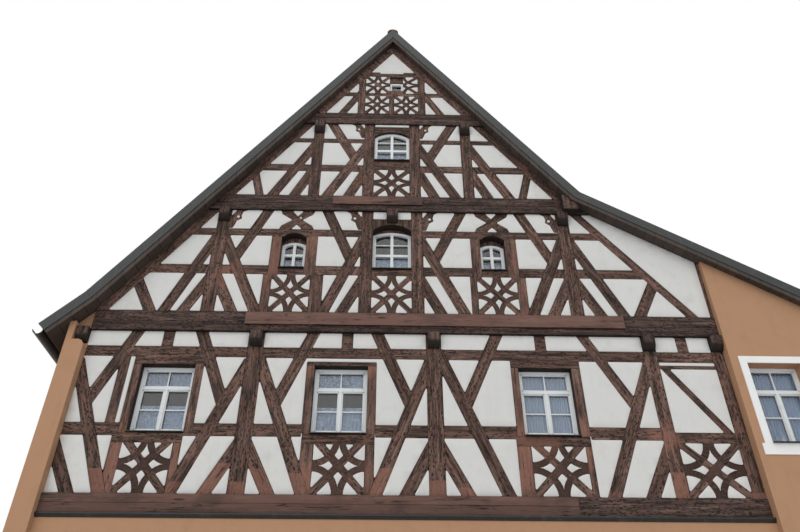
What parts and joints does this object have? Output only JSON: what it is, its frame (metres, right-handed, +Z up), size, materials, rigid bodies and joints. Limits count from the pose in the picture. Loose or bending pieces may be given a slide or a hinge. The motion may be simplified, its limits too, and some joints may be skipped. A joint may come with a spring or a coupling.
{
  "type": "half timbered house",
  "caption": "Gabled town house with a half-timbered street front, curved lattice panels, jettied attic storeys, rendered walls and a steep tiled roof over a side annex.",
  "frame": {"origin": "on the ground under the middle of the street gable, in the plane of the first floor's timber front", "axes": "+Z up, -Y out of the street front, +X to the right seen from the street"},
  "size_m": [12.9762, 11.6, 13.9803],
  "materials": {
    "dark_metal": "dark",
    "door": "oiled",
    "floor": "planed boards",
    "glass": "clear",
    "infill": "smooth lime plaster",
    "roof_board": "dark stained",
    "sheet_metal": "weathered",
    "slab": "stone flags",
    "stucco": "rubbed render",
    "tile": "fired clay",
    "timber": "weathered, hewn",
    "white_trim": "painted render",
    "window_white": "white painted"
  },
  "bodies": {
    "root": {"annex_walls": "stucco", "braces_1": "timber", "braces_g": "timber", "casings_1": "timber", "corbels": "timber", "door_frame": "door", "door_leaf": "door", "drip_moulding": "dark_metal", "facing_boards": "timber", "floor_1": "floor", "floor_2": "floor", "floor_3": "floor", "floor_4": "floor", "frames_1": "window_white", "frames_g": "window_white", "frames_stucco": "window_white", "glass": "glass", "ground_slab": "slab", "ground_walls": "stucco", "gutters": "dark_metal", "head_boards": "timber", "head_braces_1": "timber", "head_braces_g": "timber", "infill_1": "infill", "infill_g": "infill", "lattice_1": "timber", "lattice_bars_1": "timber", "lattice_bars_g": "timber", "lattice_g": "timber", "party_wall": "stucco", "plates": "timber", "posts_1": "timber", "posts_g": "timber", "purlin_end": "timber", "rafters_g": "timber", "rails_1": "timber", "rails_g": "timber", "rear_beams": "timber", "rear_frame": "timber", "rear_infill": "infill", "rear_windows": "window_white", "ridge_cap": "tile", "roof_left": "roof_board", "roof_right": "roof_board", "side_windows": "window_white", "sills": "timber", "surrounds": "white_trim", "tiles_left": "tile", "tiles_right": "tile", "verge_boards": "roof_board", "verge_flashing": "sheet_metal", "window_sheets": "dark_metal"}
  },
  "joints": []
}
